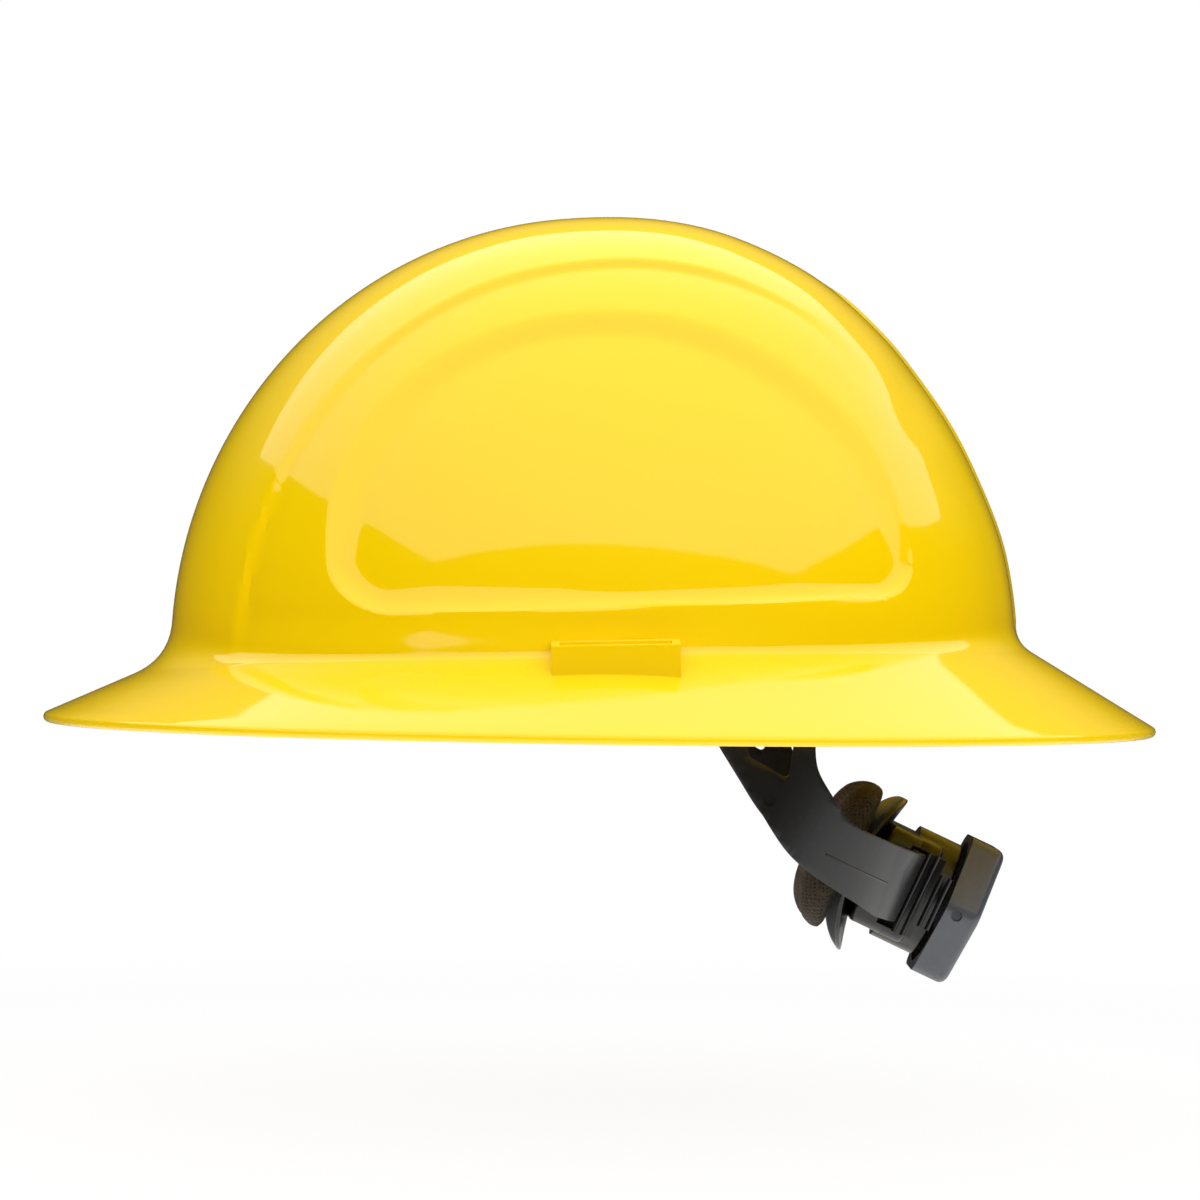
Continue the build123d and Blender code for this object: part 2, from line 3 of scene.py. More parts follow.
import bmesh
import bpy
import numpy as np
from mathutils import Matrix


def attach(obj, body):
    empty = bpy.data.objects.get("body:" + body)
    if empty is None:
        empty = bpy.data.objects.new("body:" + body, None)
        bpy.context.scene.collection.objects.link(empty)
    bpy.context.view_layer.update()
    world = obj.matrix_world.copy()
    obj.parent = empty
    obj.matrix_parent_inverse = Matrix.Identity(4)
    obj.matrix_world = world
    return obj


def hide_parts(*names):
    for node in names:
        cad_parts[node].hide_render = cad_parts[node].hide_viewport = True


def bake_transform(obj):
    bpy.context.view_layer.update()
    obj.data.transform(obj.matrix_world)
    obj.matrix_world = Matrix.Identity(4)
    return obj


bl_info = {
    "name": "Full brim hard hat",
    "version": (1, 0, 0),
    "blender": (4, 5, 0),
    "location": "View3D > Sidebar > Hard hat",
    "description": "Dresses the packed hard hat with its moulded shell, suspension and studio",
    "category": "Object",
}

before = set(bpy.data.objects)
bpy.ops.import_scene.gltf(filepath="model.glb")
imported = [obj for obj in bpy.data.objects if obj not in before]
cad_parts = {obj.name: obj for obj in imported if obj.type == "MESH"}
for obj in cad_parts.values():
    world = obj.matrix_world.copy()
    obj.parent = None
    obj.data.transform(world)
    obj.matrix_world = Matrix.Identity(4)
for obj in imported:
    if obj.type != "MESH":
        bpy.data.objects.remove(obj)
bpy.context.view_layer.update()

MM = 0.001


def linear(hex_colour):
    """sRGB hex to linear: a channel under 0.04045 is divided by 12.92, and the rest are raised to 2.4."""
    channels = [int(hex_colour[i:i + 2], 16) / 255 for i in (1, 3, 5)]
    return [c / 12.92 if c < 0.04045 else ((c + 0.055) / 1.055) ** 2.4 for c in channels]


def smooth(t):
    """Smooth step: 0 below 0, 1 above 1, and 3 t squared less 2 t cubed between."""
    t = np.clip(t, 0, 1)
    return t * t * (3 - 2 * t)


def squared_off(value, power):
    """A value's size raised to a power, under its own sign. Small powers square off a circle."""
    return np.sign(value) * np.abs(value) ** power


def unit(vectors):
    """Vectors brought to a length of 1."""
    return vectors / np.linalg.norm(vectors, axis=-1, keepdims=True)


def cos_sin(degrees):
    """Cosine and sine of an angle in degrees."""
    return math.cos(math.radians(degrees)), math.sin(math.radians(degrees))


# Sizes and colours


def length(name, description, millimetres):
    """A length property whose default is given in millimetres."""
    return bpy.props.FloatProperty(
        name=name, description=description, default=millimetres * MM, unit="LENGTH", subtype="DISTANCE"
    )


def colour(name, description, hex_colour):
    """A colour property with an sRGB default."""
    return bpy.props.FloatVectorProperty(
        name=name, description=description, default=linear(hex_colour), size=3, min=0, max=1, subtype="COLOR"
    )


def strength(name, description, value):
    """A strength property that can't be negative."""
    return bpy.props.FloatProperty(name=name, description=description, default=value, min=0)


class HatShellSettings(bpy.types.PropertyGroup):
    """Sizes and colour of the moulded shell."""

    recess_depth: length("Panel depth", "How deep the side panels are pressed in", 3.0)
    shoulder_step: length("Shoulder step", "How far the crown band stands above the sides", 2.0)
    rib_height: length("Rib height", "How far the rib down the rear stands out", 0.8)
    wall: length("Wall", "Thickness of the moulding", 2.5)
    base: colour("Shell colour", "Colour of the shell's plastic", "#FCD300")


class HatSuspensionSettings(bpy.types.PropertyGroup):
    """Colours of the suspension and ratchet."""

    nylon: colour("Suspension colour", "Colour of the moulded suspension parts", "#0C0C0D")
    # The knob's colour is partly its plastic's own grey and partly a painted bluish reflection of light from
    # below.
    knob: colour("Knob colour", "Colour of the knob's textured plastic", "#44474F")
    webbing: colour("Webbing colour", "Colour of the crown straps", "#222225")
    knit: colour("Brow pad colour", "Colour of the brow pad's knit", "#26262A")
    mesh: colour("Nape mesh colour", "Colour of the nape cushion's mesh", "#261C10")


class HatStageSettings(bpy.types.PropertyGroup):
    """Light and floor."""

    lamp_strength: strength("Softbox strength", "Radiance of the overhead softbox", 1.33)
    fill_strength: strength("Fill strength", "Soft light from the camera's side", 1.3)
    bounce_strength: strength("Bounce strength", "Radiance of the reflector in front of the hat", 0.7)
    floor: colour("Floor colour", "Colour of the floor and backdrop", "#F6F6F6")


# Meshes


def grid_faces(rows, columns, first=0):
    """Quads between neighbouring closed rings of points, which are numbered ring by ring."""
    row = np.arange(rows - 1)[:, None] * columns
    column = np.arange(columns)
    right = (column + 1) % columns
    quads = np.stack([row + column, row + right, row + columns + right, row + columns + column], -1)
    return (quads.reshape(-1, 4) + first).tolist()


def tube_faces(rows, columns):
    """Quads between neighbouring rings, and one face over each end."""
    last = (rows - 1) * columns
    return grid_faces(rows, columns) + [list(range(columns)), list(range(last, last + columns))[::-1]]


def fan_faces(centre, first, count, way=1):
    """Triangles from one point to each pair of neighbours on a closed ring, turned over if the way is -1."""
    ring = first + np.arange(count)
    return np.stack([np.full(count, centre), np.roll(ring, -1), ring][::way], -1).tolist()


def new_object(name, data):
    """New object in the scene."""
    piece = bpy.data.objects.new(name, data)
    bpy.context.scene.collection.objects.link(piece)
    return piece


def make_piece(name, points, faces, uv=None):
    """New smooth piece from points in millimetres, with its faces turned outwards."""
    mesh = bpy.data.meshes.new(name)
    mesh.from_pydata((points.reshape(-1, 3) * MM).tolist(), [], faces, shade_flat=False)
    if uv is not None:
        loops = np.zeros(len(mesh.loops), int)
        mesh.loops.foreach_get("vertex_index", loops)
        layer = mesh.uv_layers.new(name="cloth")
        layer.data.foreach_set("uv", uv.reshape(-1, 2)[loops].astype(np.float32).ravel())
    piece = new_object(name, mesh)
    face_outwards(piece)
    return piece


def face_outwards(piece):
    """Turns the faces of a closed mesh so that its volume is positive."""
    work = bmesh.new()
    work.from_mesh(piece.data)
    if work.calc_volume(signed=True) < 0:
        bmesh.ops.reverse_faces(work, faces=work.faces)
    work.to_mesh(piece.data)
    work.free()


def settle(piece):
    """Applies the piece's modifiers to its mesh."""
    graph = bpy.context.evaluated_depsgraph_get()
    graph.update()
    mesh = bpy.data.meshes.new_from_object(piece.evaluated_get(graph))
    piece.modifiers.clear()
    piece.data = mesh


crease_angle = 35


def soften_edges(piece, degrees=crease_angle):
    """Smooth shading that stays sharp at edges over an angle."""
    piece.data.shade_smooth()
    piece.data.set_sharp_from_angle(angle=math.radians(degrees))


def round_edges(work, radius):
    """Joins a mesh's flat triangles and rounds its edges that are sharper than the crease angle."""
    bmesh.ops.dissolve_limit(work, angle_limit=math.radians(1.0), verts=work.verts, edges=work.edges)
    limit = math.radians(crease_angle)
    sharp = [edge for edge in work.edges if edge.is_manifold and edge.calc_face_angle() > limit]
    bmesh.ops.bevel(
        work, geom=sharp + list({vert for edge in sharp for vert in edge.verts}), offset=radius * MM,
        offset_type="OFFSET", segments=2, profile=0.5, affect="EDGES", clamp_overlap=True,
    )
    bmesh.ops.triangulate(work, faces=[face for face in work.faces if len(face.verts) > 4])


def cut_across(piece, start, end, pitch):
    """Cuts a mesh's faces by parallel planes between two places, so that it shades smoothly."""
    work = bmesh.new()
    work.from_mesh(piece.data)
    along = np.subtract(end, start)
    for place in np.linspace(start, end, math.ceil(np.linalg.norm(along) / (pitch * MM)) + 1):
        bmesh.ops.bisect_plane(
            work, geom=work.verts[:] + work.edges[:] + work.faces[:], dist=0.001 * MM,
            plane_co=place.tolist(), plane_no=along.tolist(),
        )
    work.to_mesh(piece.data)
    work.free()


def refined_copy(node, radius=0.0):
    """Copy of a CAD node with its triangles joined and, if asked, its edges rounded."""
    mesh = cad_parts[node].data.copy()
    mesh.materials.clear()
    normals = mesh.attributes.get("custom_normal")
    if normals is not None:
        mesh.attributes.remove(normals)
    work = bmesh.new()
    work.from_mesh(mesh)
    bmesh.ops.remove_doubles(work, verts=work.verts, dist=0.001 * MM)
    if radius:
        round_edges(work, radius)
    work.to_mesh(mesh)
    work.free()
    piece = new_object(node + "_finished", mesh)
    soften_edges(piece)
    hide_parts(node)
    return piece


# Materials


def add_node(material, kind, inputs=None, **settings):
    """Adds a shader node. Inputs are values or the sockets linked to them, and settings its own values."""
    node = material.node_tree.nodes.new("ShaderNode" + kind)
    for name, value in settings.items():
        setattr(node, name, value)
    for name, value in (inputs or {}).items():
        if isinstance(value, bpy.types.NodeSocket):
            link(material, value, node.inputs[name])
        else:
            node.inputs[name].default_value = value
    return node


def new_material(name, **values):
    """New material, its shader and its Object coordinates. The values are set on the shader's own sockets."""
    material = bpy.data.materials.new(name)
    material.use_nodes = True
    shader = material.node_tree.nodes["Principled BSDF"]
    for socket, value in values.items():
        shader.inputs[socket.replace("_", " ")].default_value = value
    place = add_node(material, "TexCoord")
    return material, shader, place.outputs["Object"]


def link(material, source, target):
    """Links one socket to another."""
    material.node_tree.links.new(source, target)


def mottled(material, shader, place, dark, pale, patch):
    """Base colour that drifts between two close shades over patches of one size in millimetres."""
    noise = add_node(material, "TexNoise", {
        "Vector": place, "Scale": 1 / (patch * MM), "Detail": 3.0, "Roughness": 0.55,
    })
    ramp = add_node(material, "ValToRGB", {"Fac": noise.outputs["Fac"]})
    for stop, position, tone in zip(ramp.color_ramp.elements, (0.15, 0.85), (dark, pale)):
        stop.position = position
        stop.color = (*tone, 1)
    link(material, ramp.outputs["Color"], shader.inputs["Base Color"])


def grained(material, shader, place, grain, detail, roughness, relief, depth):
    """Raises the surface by noise of one size and depth in millimetres, as far as its relief from 0 to 1."""
    noise = add_node(material, "TexNoise", {
        "Vector": place, "Scale": 1 / (grain * MM), "Detail": detail, "Roughness": roughness,
    })
    bump = add_node(material, "Bump", {
        "Height": noise.outputs["Fac"], "Strength": relief, "Distance": depth * MM,
    })
    link(material, bump.outputs["Normal"], shader.inputs["Normal"])


def threads_with_painted_shade(material, shader, height, base, dark, relief, depth, pale=1.5):
    """Cloth whose pattern, from 0 to 1, raises its threads and takes its colour from dark to pale: painted
    shade in its low parts and painted light on its raised threads.
    """
    # Painted shade and light: the pattern's low parts are darkened and its raised threads made paler than the
    # cloth's own colour.
    mix = add_node(material, "Mix", {
        "Factor": height, 6: (*shade(base, dark), 1), 7: (*shade(base, pale), 1),
    }, data_type="RGBA")
    link(material, mix.outputs[2], shader.inputs["Base Color"])
    bump = add_node(material, "Bump", {"Height": height, "Strength": relief, "Distance": depth * MM})
    link(material, bump.outputs["Normal"], shader.inputs["Normal"])


def shade(values, factor):
    """A colour made darker or paler by a factor."""
    return [min(1.0, v * factor) for v in values]


def shell_material():
    """High density polyethylene, injection moulded and glossy.

    The eye sees sharp studio reflections over a deep saturated yellow, broken only by faint moulding
    flow: waves about 9 mm long and far less than 0.1 mm deep.
    """
    base = bpy.context.scene.hat_shell.base
    material, shader, place = new_material("moulded_polyethylene", Roughness=0.06, IOR=1.53)
    mottled(material, shader, place, shade(base, 0.985), base, patch=14.0)
    grained(material, shader, place, grain=9.0, detail=1.0, roughness=0.4, relief=0.12, depth=0.2)
    return material


def grained_plastic(name, base, roughness, grain, depth, index=1.49):
    """Moulded plastic with a spark-eroded grain of one size and depth in millimetres."""
    material, shader, place = new_material(name, Roughness=roughness, IOR=index)
    mottled(material, shader, place, shade(base, 0.85), shade(base, 1.1), patch=6.0)
    grained(material, shader, place, grain, detail=4.0, roughness=0.6, relief=0.5, depth=depth)
    return material


def suspension_material():
    """Nylon, injection moulded with a satin grain: soft broad highlights on near black."""
    base = bpy.context.scene.hat_suspension.nylon
    return grained_plastic("moulded_nylon_satin", base, roughness=0.27, grain=0.9, depth=0.02, index=1.44)


def knob_material():
    """Nylon with a coarser spark-eroded grain for grip: duller and a shade paler than the arms. Its pale
    bluish base is partly a painted reflection of light from below on its lower facets.
    """
    base = bpy.context.scene.hat_suspension.knob
    return grained_plastic("moulded_nylon_grip", base, roughness=0.3, grain=0.6, depth=0.04)


def spring_material():
    """Acetal, injection moulded and left natural: waxy off-white, for the pinion and its spring."""
    return grained_plastic("moulded_acetal", linear("#DEDBD0"), roughness=0.3, grain=1.2, depth=0.01)


def screw_material():
    """Zinc plated steel, cold headed: grey metal with fine turned scratches."""
    material, shader, place = new_material("zinc_plated_steel", Metallic=1.0, Roughness=0.32)
    mottled(material, shader, place, linear("#9A9DA2"), linear("#B8BBBF"), patch=1.5)
    return material


def webbing_material():
    """Polyester webbing, woven: a low basket pattern of 1.6 mm on the strap's own UV, with a dull sheen."""
    pitch = 1.6
    material, shader, _ = new_material("woven_polyester_webbing", Roughness=0.85, Sheen_Weight=0.35)
    cloth = add_node(material, "UVMap", uv_map="cloth").outputs["UV"]
    split = add_node(material, "SeparateXYZ", {"Vector": cloth})
    ripple = []
    for axis in ("X", "Y"):
        turn = add_node(material, "Math", {0: split.outputs[axis], 1: math.tau / pitch}, operation="MULTIPLY")
        wave = add_node(material, "Math", {0: turn.outputs[0]}, operation="SINE")
        ripple.append(wave.outputs[0])
    weave = add_node(material, "Math", {0: ripple[0], 1: ripple[1]}, operation="MULTIPLY")
    ramp = add_node(material, "MapRange", {"Value": weave.outputs[0], "From Min": -1.0})
    base = bpy.context.scene.hat_suspension.webbing
    # The weave's low parts carry painted shade and its raised threads painted light.
    threads_with_painted_shade(material, shader, ramp.outputs["Result"], base, dark=0.45, relief=0.8, depth=0.25)
    return material


def knit_material():
    """Brushed polyester knit over foam: level ribs 1.3 mm apart, broken by stitches, and a soft sheen."""
    base = bpy.context.scene.hat_suspension.knit
    material, shader, place = new_material("brushed_polyester_knit", Roughness=0.85, Sheen_Weight=0.35)
    ribs = add_node(material, "TexWave", {
        "Vector": place, "Scale": math.tau / 20 / (1.3 * MM), "Distortion": 1.5,
        "Detail": 1.0, "Detail Scale": 1.5,
    }, bands_direction="Z", wave_profile="SIN")
    # The grooves between the ribs carry painted shade and the rib tops painted light.
    threads_with_painted_shade(material, shader, ribs.outputs["Fac"], base, dark=0.45, relief=0.8, depth=0.3)
    return material


def mesh_material():
    """Spacer mesh over foam: open cells 1.1 mm apart, brown-black threads made paler as painted light, over
    holes darkened as painted shade.
    """
    base = bpy.context.scene.hat_suspension.mesh
    material, shader, place = new_material("spacer_mesh_over_foam", Roughness=0.9, Sheen_Weight=0.05)
    cells = add_node(material, "TexVoronoi", {"Vector": place, "Scale": 1 / (1.1 * MM), "Randomness": 0.25})
    ramp = add_node(material, "MapRange", {
        "Value": cells.outputs["Distance"], "From Min": 0.15, "From Max": 0.5,
    })
    # The cells' hollow middles carry painted shade and the threads between them painted light.
    threads_with_painted_shade(material, shader, ramp.outputs["Result"], base, dark=0.2, relief=0.9, depth=0.4, pale=1.35)
    return material


def finish_piece(piece, body, slot, material, *nodes):
    """Gives a piece its material and its body, and hides the CAD nodes that it stands for. The slot is not
    used.
    """
    piece.data.materials.clear()
    piece.data.materials.append(material)
    if nodes:
        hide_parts(*nodes)
    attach(piece, body)


# Shell

brim_half = np.array([162.0, 139.0])
dome_half = np.array([123.3, 104.5])
dome_rise = 127.7
dome_base = 20.1
dome_shift = 2.2
dome_centre = np.array([dome_shift, 0, dome_base])
root_inset = 10.0
root_level = 26.8
root_tilt = math.tan(math.radians(2.43))
root_drop_share = 1.15
root_leg_share = 0.589
rim_radius = 1.45
rim_level = 1.2
rim_side_lift = 0.6
root_side_lift = 0.7
brim_slope = 0.558
boss_x = -4.0
boss_inner = 103.3
boss_face = 112.5
boss_half_length = 17.2
boss_height = 24.9
boss_slant = 8.5
boss_tilt = 1.75
slot_inner = 106.0
slot_outer = 110.4
slot_half_length = 15.0
recess_x = -4.6
recess_z = 48.7
recess_turn = 11.0
recess_half_length = 81.75
recess_rise = 69.5
recess_sill = 35.1
rib_half_width = 6.0
rib_front = -62.0
rib_floor = 29.0
key_angles = (40, 140, 220, 320)
pocket_inner = 102.38
pocket_depth = 12.0
pocket_half_width = 12.5
pocket_low = 12.0
pocket_high = 36.5
key_slot_inset = 1.6
key_slot_depth = 2.7
key_slot_half_width = 9.15


def recess_distance(x, z, margin):
    """Distance inside the D-shaped panel, from the side: a turned ellipse over a sill, with round corners."""
    cos, sin = cos_sin(recess_turn)
    ahead, above = x - recess_x, z - recess_z
    along = ahead * cos + above * sin
    up = above * cos - ahead * sin
    half, rise = recess_half_length + margin, recess_rise + margin
    reach = np.sqrt((along / half) ** 2 + (up / rise) ** 2) + 1e-6
    slope = np.sqrt((along / half ** 2) ** 2 + (up / rise ** 2) ** 2) / reach + 1e-6
    arch = (1 - reach) / slope
    sill = z - (recess_sill - margin - ahead * root_tilt)
    corner = 9.0 + 6.0 * smooth((x + 30) / 60) + margin
    both = (arch < corner) & (sill < corner)
    rounded = corner - np.hypot(corner - arch, corner - sill)
    return np.where(both, rounded, np.minimum(arch, sill))


def recess_wall(x, z, distance):
    """How far down the panel's wall a place lies, from 0 to 1, at a distance inside the panel's outline.

    The wall is 5.5 mm wide along the sill and rear, 9 at the front and 7 along the top. Its outer edge is
    crisp below and at the ends, where it falls as a cube, and soft along the top, where it is a smooth step.
    """
    angle = np.degrees(np.arctan2(z - recess_z, x - recess_x))
    width = np.interp(
        angle,
        [-180, -150, -100, -50, -25, -5, 20, 40, 75, 110, 140, 165, 180],
        [5.6, 5.6, 5.4, 6.2, 8.0, 8.8, 8.4, 7.4, 6.6, 6.6, 6.6, 6.0, 5.6],
    )
    crisp = np.interp(angle, [-180, -20, 20, 50, 130, 160, 180], [0.9, 0.9, 0.5, 0, 0, 0.5, 0.9])
    share = np.clip(distance / width, 0, 1)
    return (1 - crisp) * smooth(share) + crisp * (1 - (1 - share) ** 3)


def crest_half_width(x):
    """Distance of the crown band's step from the middle: 51 mm at the top, more in front, 29 at the rear."""
    return 51.0 + 0.078 * x + 0.0003 * x ** 2 - 17.0 * smooth((-70 - x) / 45)


def pressed(points, margin):
    """How far each point of the dome is pressed in, in millimetres: shoulders, side panels, rear and rib.

    The margin is 0 outside, and on an inner surface it is the distance from the outside.
    """
    settings = bpy.context.scene.hat_shell
    x, y, z = points[..., 0], points[..., 1], points[..., 2]
    side = np.abs(y)
    upper = smooth((z - 16) / 16)
    fade = 0.2 + 0.8 * smooth((x + 78) / 58)
    step = settings.shoulder_step / MM
    past_step = side - crest_half_width(x) + margin
    edge = smooth(past_step / (2.3 + 9.0 * smooth((-50 - x) / 30)) + 0.5)
    shoulder = step * fade * upper * (0.15 * smooth((past_step + 13.5) / 13.5) + 0.85 * edge)
    wall = recess_wall(x, z, recess_distance(x, z, margin))
    recess = settings.recess_depth / MM * wall * (side > 25)
    rear = 0.9 * smooth((-74 - x) / 16) * smooth((118 - z) / 20) * smooth((z - 50) / 25)
    strip = smooth((rib_half_width - side) / 1.6) * smooth((rib_front - x) / 9)
    rib = settings.rib_height / MM * strip * smooth((z - rib_floor) / 1.5) * (margin == 0)
    return shoulder + recess + rear - rib


def crown_lift(points):
    """Height of the crown's rear above the ellipsoid: 1.7 mm a third of the way back, fading out."""
    x, z = points[..., 0], points[..., 2]
    return 1.7 * smooth((14 - x) / 52) * smooth((x + 88) / 30) * smooth((z - 92) / 28)


def root_radius(turns):
    """Radius of the hollow curve round the dome's foot: 2.6 mm at the sides, 20 in front and 10 behind."""
    ahead = np.clip(np.cos(turns), 0, None) ** 5
    behind = np.clip(-np.cos(turns), 0, None) ** 3
    return 2.6 + 17.4 * ahead + 7.4 * behind


def dome_normals(points, scale):
    """Outward direction on the dome's ellipsoid: distances from its centre over the half lengths squared."""
    return unit((points - dome_centre) / scale ** 2)


def meridians(turns, inset, rim_inset, rim_height, dome_rows, blend_rows, slope_rows):
    """Grid from the crown to the rim, one column for each plan angle.

    Each column runs down the dome's ellipsoid, round a hollow curve and out along the straight slope
    between an oval inside the dome and the rim's oval. The curve is a parabola whose legs lie on the
    pressed dome and on the slope. The dome's rows are closer at the crown's step and at its foot.
    """
    scale = np.append(dome_half, dome_rise) - inset
    circle = np.stack([np.cos(turns), np.sin(turns)], -1)
    top_plan = circle * (dome_half - root_inset - inset) + [dome_shift, 0]
    level = root_level - inset * root_drop_share - (top_plan[:, :1] - dome_shift) * root_tilt
    top = np.concatenate([top_plan, level + root_side_lift * circle[:, 1:] ** 2], 1)
    rim_plan = circle * (brim_half - rim_inset)
    rim = np.concatenate([rim_plan, rim_height + rim_side_lift * circle[:, 1:] ** 2], 1)
    run = rim - top
    start, step = (top - dome_centre) / scale, run / scale
    a, b, c = (step ** 2).sum(1), 2 * (start * step).sum(1), (start ** 2).sum(1) - 1
    corner = top + run * ((-b + np.sqrt(b * b - 4 * a * c)) / (2 * a))[:, None]
    away, aside, above = ((corner - dome_centre) / scale).T
    plan, low = np.arctan2(aside, away), np.arcsin(above)
    leg = (root_radius(turns) + inset) * root_leg_share
    share = np.interp(np.linspace(0, 1, dome_rows + 1)[1:], [0, 0.1, 0.45, 0.64, 1], [0, 0.28, 0.56, 0.8, 1])
    angle = math.pi / 2 - (math.pi / 2 - low - leg / scale[2]) * share[:, None]
    level_out, up = np.cos(angle), np.sin(angle)
    dome = dome_centre + scale * np.stack([level_out * np.cos(plan), level_out * np.sin(plan), up], -1)
    dome = dome - dome_normals(dome, scale) * pressed(dome, inset)[..., None]
    dome[..., 2] += crown_lift(dome)
    direction = unit(run)
    outwards = dome_normals(corner, scale)
    hinge = corner - direction * (pressed(corner, inset) / (outwards * direction).sum(1))[:, None]
    leave = hinge + direction * leg[:, None]
    t = np.linspace(0, 1, blend_rows + 2)[1:, None, None]
    blend = (1 - t) ** 2 * dome[-1] + 2 * t * (1 - t) * hinge + t ** 2 * leave
    t = np.linspace(0, 1, slope_rows + 1)[1:, None, None]
    slope = leave + (rim - leave) * t
    return np.concatenate([dome, blend, slope])


def plan_turns(columns):
    """Plan angles of the columns, 2.6 times as close where they cross the side panels' ends."""
    degrees = np.arange(0, 361)
    ahead = np.abs((degrees + 180) % 360 - 180)
    near = ((ahead > 46) & (ahead < 61)) | ((ahead > 123) & (ahead < 139))
    reach = np.concatenate([[0], np.cumsum(np.where(near, 2.6, 1.0)[:-1])])
    return np.radians(np.interp(np.linspace(0, reach[-1], columns, endpoint=False), reach, degrees))


def shell_surface(columns=460):
    """The whole shell as one closed surface: outside, rounded rim, underside and inside.

    The inside has half as many columns as the outside, and the faces that join them have five corners.
    """
    half = columns // 2
    wall = bpy.context.scene.hat_shell.wall / MM
    turns = plan_turns(columns)
    slant = math.atan(brim_slope)
    lift = rim_radius * (1 - math.sin(slant))
    rim_height = rim_level + brim_slope * lift
    outside = meridians(turns, 0.0, lift, rim_height, dome_rows=148, blend_rows=8, slope_rows=8)
    bead_level = rim_level + brim_slope * rim_radius - rim_radius / math.cos(slant)
    bead = np.linspace(math.pi / 2 - slant, -math.pi / 2, 10)[1:]
    inset = rim_radius * (1 - np.cos(bead))[:, None, None]
    circle = np.stack([np.cos(turns), np.sin(turns)], -1)
    plan = circle * (brim_half - inset)
    level = (bead_level + rim_radius * np.sin(bead))[:, None, None] + rim_side_lift * circle[..., 1:] ** 2
    outside = np.concatenate([outside, np.concatenate([plan, level], -1)])
    inside = meridians(turns[::2], wall, 2.6, -0.98, dome_rows=62, blend_rows=6, slope_rows=6)[::-1]
    rows, inner_rows = len(outside), len(inside)
    points = np.concatenate([
        [dome_centre + [0, 0, dome_rise + 0.13]], outside.reshape(-1, 3), inside.reshape(-1, 3),
        [dome_centre + [0, 0, dome_rise - wall + 0.13]],
    ])
    faces = fan_faces(0, 1, columns) + grid_faces(rows, columns, 1)
    ring = 1 + (rows - 1) * columns
    inner = 1 + rows * columns
    step = np.arange(half)
    following = (step + 1) % half
    joint = np.stack([
        ring + 2 * step, ring + 2 * step + 1, ring + 2 * following, inner + following, inner + step,
    ], -1)
    faces += joint.tolist() + grid_faces(inner_rows, half, inner)
    return points, faces + fan_faces(len(points) - 1, inner + (inner_rows - 1) * half, half, -1)


def core_surface(columns=240):
    """Closed solid whose outside runs through the middle of the shell's wall."""
    turns = plan_turns(columns)
    depth, rim_height = 1.25, 0.6
    outside = meridians(turns, depth, 2.0, rim_height, dome_rows=60, blend_rows=6, slope_rows=6)
    rows = len(outside)
    ends = [dome_centre + [0, 0, dome_rise - depth]], [[0, 0, rim_height]]
    points = np.concatenate([ends[0], outside.reshape(-1, 3), ends[1]])
    faces = fan_faces(0, 1, columns) + grid_faces(rows, columns, 1)
    return points, faces + fan_faces(len(points) - 1, 1 + (rows - 1) * columns, columns, -1)


def block(low, high):
    """Closed box between two corners."""
    corners = np.array([[x, y, z] for x in (0, 1) for y in (0, 1) for z in (0, 1)])
    points = np.array(low) + corners * (np.array(high) - low)
    return points, [[0, 1, 3, 2], [4, 6, 7, 5], [0, 4, 5, 1], [2, 3, 7, 6], [0, 2, 6, 4], [1, 5, 7, 3]]


def turned(solid, degrees, centre, axis=2):
    """A solid turned through a centre about Z, or about Y where the axis is 1."""
    cos, sin = cos_sin(degrees)
    turn = np.array([[cos, -sin, 0], [sin, cos, 0], [0, 0, 1]])
    if axis == 1:
        turn = np.array([[cos, 0, sin], [0, 1, 0], [-sin, 0, cos]])
    points, faces = solid
    return (points - centre) @ turn.T + centre, faces


def joined(solids):
    """Points and faces of several solids as one list each."""
    points, faces, first = [], [], 0
    for some, sides in solids:
        points.append(some)
        faces += [[index + first for index in side] for side in sides]
        first += len(some)
    return np.concatenate(points), faces


def boss_solid(side):
    """Block of an accessory slot: its foot is inside the brim's wall, and its top slants down outwards."""
    top = boss_height + (boss_face - boss_inner) * math.tan(math.radians(boss_slant))
    outline = [(boss_inner, 21.0), (boss_face, 15.6), (boss_face, boss_height), (boss_inner, top)]
    ends = boss_x - boss_half_length, boss_x + boss_half_length
    points = np.array([[x, side * y, z] for x in ends for y, z in outline])
    solid = points, [[0, 1, 2, 3], [7, 6, 5, 4], [0, 4, 5, 1], [1, 5, 6, 2], [2, 6, 7, 3], [3, 7, 4, 0]]
    return turned(solid, boss_tilt, (boss_x, 0, boss_height), 1)


def slot_solid(side):
    """Cutter of an accessory slot, right through the boss and the brim."""
    near, far = sorted((side * slot_inner, side * slot_outer))
    solid = block((boss_x - slot_half_length, near, 5.0), (boss_x + slot_half_length, far, 40.0))
    return turned(solid, boss_tilt, (boss_x, 0, boss_height), 1)


def bar(path, radius, sides):
    """Closed round bar along a path of points, whose rings stand square to it."""
    path = np.asarray(path, float)
    along = np.gradient(path, axis=0)
    first = unit(np.cross(along, [0.31, 0.23, 1.0]))
    second = np.cross(unit(along), first)
    turn = np.linspace(0, math.tau, sides, endpoint=False)[:, None]
    points = path[:, None] + radius * (first[:, None] * np.cos(turn) + second[:, None] * np.sin(turn))
    return points.reshape(-1, 3), tube_faces(len(path), sides)


def at_key(angle, low, high):
    """Box in the frame of one hanger key: away from the dome's middle, across and up."""
    points, faces = block(low, high)
    return turned((points + [dome_shift, 0, 0], faces), angle, (dome_shift, 0, 0))


